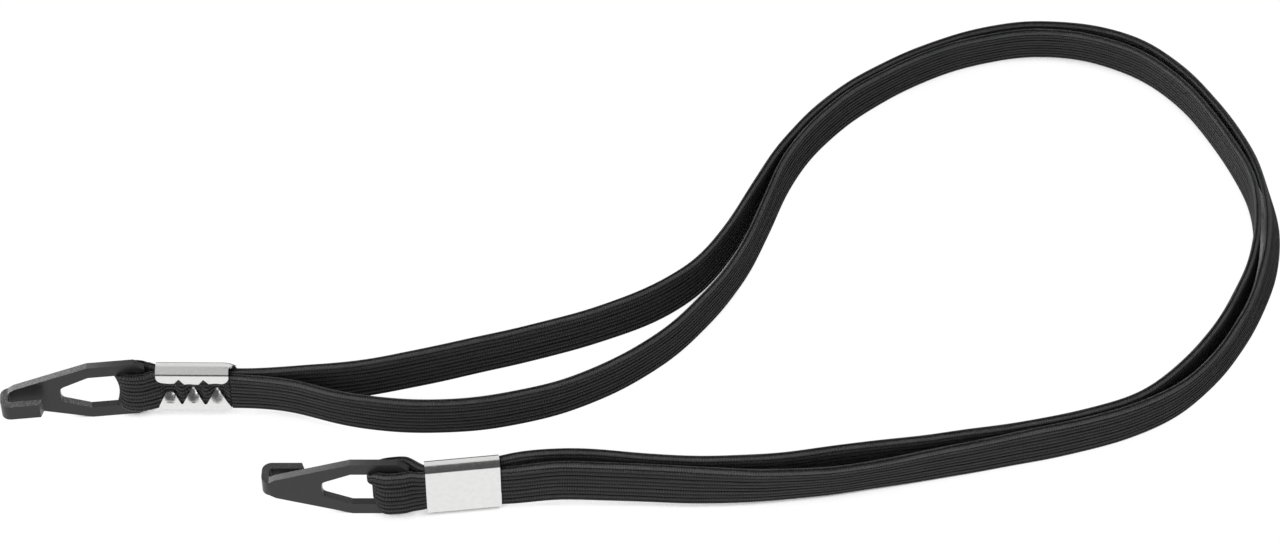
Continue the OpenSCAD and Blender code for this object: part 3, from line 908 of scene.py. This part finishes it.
def add_bump(tree, shader, height, strength, distance):
    bump = tree.nodes.new("ShaderNodeBump")
    bump.inputs["Strength"].default_value = strength
    bump.inputs["Distance"].default_value = distance
    link(tree, height, bump.inputs["Height"])
    link(tree, bump.outputs["Normal"], shader.inputs["Normal"])


def elastic_material(settings, braid):
    """Black braided elastic with matt threads and a fuzzier upper edge. Its colour carries painted
    shade in the grooves, which go near black, and on the ribs' flanks, painted highlight on the rib
    crests, their stitches and the upper edge's corner ribs, and light speckles that are partly
    raised fibres and partly painted sheen.
    """
    material, shader, tree = new_material("Braided elastic")
    place = tree.nodes.new("ShaderNodeUVMap")
    place.uv_map = "band"
    ribs = add_group(tree, braid, Stitch=0.4, Slant=0.3)
    link(tree, place.outputs["UV"], ribs.inputs["Place"])
    selvedge = stored(tree, "selvedge")
    link(tree, stored(tree, "groove"), ribs.inputs["Deep"])
    link(tree, selvedge, ribs.inputs["Selvedge"])
    thread = settings.thread
    crest = ramp(tree, ribs.outputs["Crest"], 0.1, 1.0, smooth=False)
    # Painted light and shade on the ribs: crests and stitches lit up to 2.7 times the thread
    # colour, flanks shaded down to 0.15 of it.
    crest_light_and_shade = mix_colour(tree, crest, shade(thread, 0.15), shade(thread, 2.7))
    varied = mix_colour(tree, ramp(tree, ribs.outputs["Rib"], -1.2, 1.4, smooth=False),
                        shade(thread, 0.8), crest_light_and_shade)
    close = mix_colour(tree, math_node(tree, "MULTIPLY", selvedge, 0.6), varied,
                       shade(thread, 0.7))
    # Painted highlight along the crests of the upper edge's two corner ribs.
    edge = mix_colour(tree, ribs.outputs["Corner highlight"], close, shade(thread, 4.0))
    # Light speckles, partly raised fibres and partly painted sheen.
    lit = mix_colour(tree, ribs.outputs["Lint and sheen"], edge, tuple(settings.lint_and_sheen))
    # Painted shade: the grooves are darkened to near black.
    black = mix_colour(tree, ribs.outputs["Groove"], lit, tuple(settings.groove))
    link(tree, black, shader.inputs["Base Color"])
    shader.inputs["Roughness"].default_value = 0.8
    shader.inputs["Specular IOR Level"].default_value = 0.2
    shader.inputs["Sheen Weight"].default_value = 0.03
    shader.inputs["Sheen Roughness"].default_value = 0.5
    add_bump(tree, shader, ribs.outputs["Height"], 1.0, 0.00024)
    return material


def plastic_material(settings, grain):
    """Satin black moulded plastic: fine grain, slow gloss patches, and edges lightened partly as
    worn plastic and partly as painted highlight.
    """
    material, shader, tree = new_material("Satin moulding")
    skin = add_group(tree, grain, Fine=5200.0, Coarse=900.0)
    base = mix_colour(tree, skin.outputs["Patches"], shade(settings.plastic, 0.92),
                      shade(settings.plastic, 1.08))
    flecks = ramp(tree, skin.outputs["Grain"], 0.4, 0.85)
    # The edges and narrow sides are lightened in grainy flecks, partly as worn plastic and partly
    # as painted highlight.
    rub_and_highlight = math_node(tree, "MULTIPLY", stored(tree, "rub_and_highlight"),
                    math_node(tree, "ADD", math_node(tree, "MULTIPLY", flecks, 0.8), 0.2))
    link(tree, mix_colour(tree, rub_and_highlight, base, tuple(settings.rubbed_and_lit)), shader.inputs["Base Color"])
    vary_roughness(tree, shader, skin.outputs["Patches"], 0.32, 0.37)
    shader.inputs["Specular IOR Level"].default_value = 0.38
    add_bump(tree, shader, skin.outputs["Grain"], 0.35, 0.00002)
    return material


def plating_material(settings, grain):
    """Bright plated sheet: nearly a mirror, with fine rolling marks and dull patches."""
    material, shader, tree = new_material("Bright plating")
    skin = add_group(tree, grain, Fine=4200.0, Coarse=1100.0)
    metal = mix_colour(tree, skin.outputs["Patches"], shade(settings.plating, 0.94),
                       tuple(settings.plating))
    link(tree, metal, shader.inputs["Base Color"])
    shader.inputs["Metallic"].default_value = 1.0
    vary_roughness(tree, shader, skin.outputs["Patches"], 0.1, 0.2)
    add_bump(tree, shader, skin.outputs["Grain"], 0.2, 0.00001)
    return material


def shared(name, build, *given):
    """A named node group or material, built the first time it is asked for."""
    found = bpy.data.node_groups.get(name) or bpy.data.materials.get(name)
    return found or build(*given)


def give_elastic(piece):
    braid = shared("Braided ribs", braid_group)
    piece.data.materials.append(
        shared("Braided elastic", elastic_material, bpy.context.scene.strap_band, braid)
    )


# ---------------------------------------------------------------- operators


class STRAP_OT_stage(bpy.types.Operator):
    """Make the floor, the lights, the world and the camera"""

    bl_idname = "strap.stage"
    bl_label = "Make Stage"

    def execute(self, context):
        settings = context.scene.strap_stage
        low, high = CAD_BOX
        target = VIEW_MIDDLE
        e = settings.elevation
        back = np.array([0, -math.cos(e), math.sin(e)])
        lens = bpy.data.cameras.new("Camera")
        lens.lens = settings.focal_length
        lens.sensor_width = 36
        lens.clip_start, lens.clip_end = 0.05, 20
        camera = bpy.data.objects.new("Camera", lens)
        camera.location = target + back * settings.distance
        camera.rotation_euler = (math.pi / 2 - e, 0, 0)
        context.scene.collection.objects.link(camera)
        context.scene.camera = camera
        self.add_floor(context, settings, (low + high) / 2)
        self.add_light(context, "Key", target + [0, 0.27, 0.44], target, 0.5, settings.key)
        self.add_light(context, "Fill", target + [-0.15, -0.58, 0.24], target, 0.6, settings.fill)
        self.set_world(context)
        context.scene.view_settings.view_transform = "Standard"
        return {"FINISHED"}

    def add_floor(self, context, settings, middle):
        """A wide square floor at z = 0, with the strap over its middle."""
        r = FLOOR_HALF_WIDTH
        points = np.array([(middle.x + sx * r, middle.y + sy * r, 0)
                           for sx, sy in ((-1, -1), (1, -1), (1, 1), (-1, 1))])
        mesh = bpy.data.meshes.new("Floor")
        mesh.from_pydata(points.tolist(), [], [(0, 1, 2, 3)])
        floor = bpy.data.objects.new("Floor", mesh)
        context.scene.collection.objects.link(floor)
        material, shader, tree = new_material("Pale floor")
        shader.inputs["Roughness"].default_value = 0.9
        shader.inputs["Specular IOR Level"].default_value = 0.0
        # Seen by the camera or in a reflection, the floor is mostly plain white, and the rest of it
        # keeps the strap's shadow. Where the strap closes it in, it gives none of the white, and
        # there its own colour is painted dark as painted shade.
        glow = tree.nodes.new("ShaderNodeEmission")
        glow.inputs["Strength"].default_value = 1.05
        path = tree.nodes.new("ShaderNodeLightPath")
        seen = math_node(tree, "MAXIMUM", path.outputs["Is Camera Ray"],
                         math_node(tree, "MAXIMUM", path.outputs["Is Glossy Ray"],
                                   path.outputs["Is Transmission Ray"]))
        blend = tree.nodes.new("ShaderNodeMixShader")
        shut_in = tree.nodes.new("ShaderNodeAmbientOcclusion")
        shut_in.samples = 8
        shut_in.inputs["Distance"].default_value = 0.006
        open_sky = ramp(tree, shut_in.outputs["AO"], 0.18, 0.42)
        # Painted shade: in the narrow slits round the strap the floor's colour goes near black.
        in_slits = ramp(tree, shut_in.outputs["AO"], 0.12, 0.36)
        link(tree, mix_colour(tree, in_slits, (0.01, 0.01, 0.01), tuple(settings.floor)),
             shader.inputs["Base Color"])
        white_share = math_node(tree, "MULTIPLY", math_node(tree, "MULTIPLY", seen, 0.94), open_sky)
        link(tree, white_share, blend.inputs[0])
        link(tree, shader.outputs[0], blend.inputs[1])
        link(tree, glow.outputs[0], blend.inputs[2])
        # In a reflection the floor further off is dim, as the sweep in a studio is.
        dim = tree.nodes.new("ShaderNodeEmission")
        dim.inputs["Strength"].default_value = 0.1
        far = math_node(tree, "MULTIPLY", ramp(tree, path.outputs["Ray Length"], 0.02, 0.045),
                        path.outputs["Is Glossy Ray"])
        faded = tree.nodes.new("ShaderNodeMixShader")
        link(tree, far, faded.inputs[0])
        link(tree, blend.outputs[0], faded.inputs[1])
        link(tree, dim.outputs[0], faded.inputs[2])
        link(tree, faded.outputs[0], tree.nodes["Material Output"].inputs["Surface"])
        mesh.materials.append(material)

    def add_light(self, context, name, place, target, size, power):
        """A square soft light that faces the target. Reflections show the world's instead."""
        data = bpy.data.lights.new(name, "AREA")
        data.shape = "SQUARE"
        data.size = size
        data.energy = power
        light = bpy.data.objects.new(name, data)
        away = np.array(place) - target
        away = away / np.linalg.norm(away)
        light.location = place
        light.rotation_euler = (math.acos(away[2]), 0, math.atan2(away[1], away[0]) + math.pi / 2)
        light.visible_glossy = False
        context.scene.collection.objects.link(light)

    def set_world(self, context):
        """Dim grey air, plain white where the camera sees it. Reflections show a bright
        wall behind, a panel at the viewer's left and a brighter one at the far left."""
        world = bpy.data.worlds.new("Studio")
        context.scene.world = world
        world.use_nodes = True
        tree = world.node_tree
        air = tree.nodes["Background"]
        path = tree.nodes.new("ShaderNodeLightPath")
        way = tree.nodes.new("ShaderNodeSeparateXYZ")
        link(tree, tree.nodes.new("ShaderNodeTexCoord").outputs["Generated"], way.inputs[0])
        left = math_node(tree, "MULTIPLY", way.outputs["X"], -1.0)
        wall = math_node(tree, "MULTIPLY", ramp(tree, way.outputs["Y"], 0.5, 0.64), 0.78)
        behind = math_node(tree, "MULTIPLY", wall, ramp(tree, way.outputs["Z"], 0.02, 0.12))
        panel = math_node(tree, "MULTIPLY", ramp(tree, left, 0.04, 0.1), 0.56)
        panel = math_node(tree, "MULTIPLY", panel, ramp(tree, way.outputs["Z"], 0.08, 0.2))
        far = math_node(tree, "MULTIPLY", ramp(tree, left, 0.25, 0.5), 4.5)
        glow = math_node(tree, "MAXIMUM", math_node(tree, "MAXIMUM", behind, panel), far)
        glow = math_node(tree, "ADD", glow, 0.1)
        reflected = combine(tree, glow, glow, glow)
        grey = mix_colour(tree, path.outputs["Is Glossy Ray"], (0.22, 0.22, 0.22), reflected)
        link(tree, grey, air.inputs["Color"])
        plain = tree.nodes.new("ShaderNodeBackground")
        plain.inputs["Color"].default_value = (1, 1, 1, 1)
        blend = tree.nodes.new("ShaderNodeMixShader")
        link(tree, path.outputs["Is Camera Ray"], blend.inputs[0])
        link(tree, air.outputs[0], blend.inputs[1])
        link(tree, plain.outputs[0], blend.inputs[2])
        link(tree, blend.outputs[0], tree.nodes["World Output"].inputs["Surface"])


class STRAP_OT_strands(bpy.types.Operator):
    """Make the two free strands of braided elastic"""

    bl_idname = "strap.strands"
    bl_label = "Make Strands"

    def execute(self, context):
        settings = context.scene.strap_band
        for node, route, side, seed in (
            ("strand_inner", INNER_ROUTE, 1, 1.0), ("strand_outer", OUTER_ROUTE, -1, 2.3)
        ):
            piece, middle, length = make_strand("elastic_" + node, route, side, settings, seed)
            give_elastic(piece)
            finished(piece, node, "strap")
        return {"FINISHED"}


class STRAP_OT_eye_loops(bpy.types.Operator):
    """Make the folds of elastic round the end bars"""

    bl_idname = "strap.eye_loops"
    bl_label = "Make Eye Loops"

    def execute(self, context):
        settings = context.scene.strap_band
        for side, bow, lift, tilt in (
            ("right", right_bow, 0.0, 0.0), ("left", left_bow, 0.0004, 0.0007)
        ):
            end = ENDS[side]
            piece = make_eye_loop("elastic_eye_" + side, end, settings, bow, lift, tilt)
            give_elastic(piece)
            finished(piece, "eye_loop_" + side)
            mouth = in_place([end["gap"], -end["aside"], 0], end)
            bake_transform(piece)
        return {"FINISHED"}


class STRAP_OT_hooks(bpy.types.Operator):
    """Make the two moulded hooks"""

    bl_idname = "strap.hooks"
    bl_label = "Make Hooks"

    def execute(self, context):
        settings = context.scene.strap_hook
        grain = shared("Surface grain", grain_group)
        # How strongly each hook's edges are lightened, partly as worn plastic and partly as painted
        # highlight.
        for side, wear_and_highlight in (("right", 1.0), ("left", 0.25)):
            node = "hook_" + side
            piece = make_hook("moulded_" + node, node, ENDS[side]["bar"], wear_and_highlight, settings)
            piece.data.materials.append(shared("Satin moulding", plastic_material, settings, grain))
            finished(piece, node, node)
        return {"FINISHED"}


class STRAP_OT_clips(bpy.types.Operator):
    """Make the two folded clips"""

    bl_idname = "strap.clips"
    bl_label = "Make Clips"

    def execute(self, context):
        settings = context.scene.strap_clip
        pinched = context.scene.strap_band.pinched
        grain = shared("Surface grain", grain_group)
        # Each tooth: its middle along the clip, how long it is, half its tip's width.
        teeth = {
            "right": [(-0.0039, 0.0040, 0.00065), (-0.0002, 0.0047, 0.0002),
                      (0.0036, 0.0046, 0.0002)],
            "left": [(k * CLIP_LENGTH / 3, 0.0047, 0.0003) for k in (-1, 0, 1)],
        }
        for side, height, skew, seed in (("right", settings.height, 0.0011, 0.7),
                                         ("left", settings.left_height, 0.0, 1.9)):
            piece = make_clip("plated_clip_" + side, ENDS[side], settings, height, pinched,
                              teeth[side], skew, seed)
            piece.data.materials.append(shared("Bright plating", plating_material, settings, grain))
            finished(piece, "clip_" + side, "strap")
        return {"FINISHED"}


class STRAP_PT_panel(bpy.types.Panel):
    """The strap's pieces and sizes"""

    bl_label = "Retainer Strap"
    bl_idname = "STRAP_PT_panel"
    bl_space_type = "VIEW_3D"
    bl_region_type = "UI"
    bl_category = "Strap"

    def draw(self, context):
        for name, group, operator in PARTS:
            box = self.layout.box()
            box.label(text=name)
            settings = getattr(context.scene, group)
            for key in settings.__annotations__:
                box.prop(settings, key)
            for idname in operator:
                box.operator(idname)


PARTS = (
    ("Stage", "strap_stage", ("strap.stage",)),
    ("Elastic", "strap_band", ("strap.strands", "strap.eye_loops")),
    ("Hooks", "strap_hook", ("strap.hooks",)),
    ("Clips", "strap_clip", ("strap.clips",)),
)
GROUPS = {
    "strap_stage": StageSettings,
    "strap_band": BandSettings,
    "strap_hook": HookSettings,
    "strap_clip": ClipSettings,
}
CLASSES = (*GROUPS.values(), STRAP_OT_stage, STRAP_OT_strands, STRAP_OT_eye_loops,
           STRAP_OT_hooks, STRAP_OT_clips, STRAP_PT_panel)


def register():
    for cls in CLASSES:
        bpy.utils.register_class(cls)
    for name, cls in GROUPS.items():
        setattr(bpy.types.Scene, name, bpy.props.PointerProperty(type=cls))


def unregister():
    for name in GROUPS:
        delattr(bpy.types.Scene, name)
    for cls in reversed(CLASSES):
        bpy.utils.unregister_class(cls)


def main():
    register()
    bpy.ops.strap.stage()
    bpy.ops.strap.strands()
    bpy.ops.strap.eye_loops()
    bpy.ops.strap.hooks()
    bpy.ops.strap.clips()


if __name__ == "__main__":
    main()
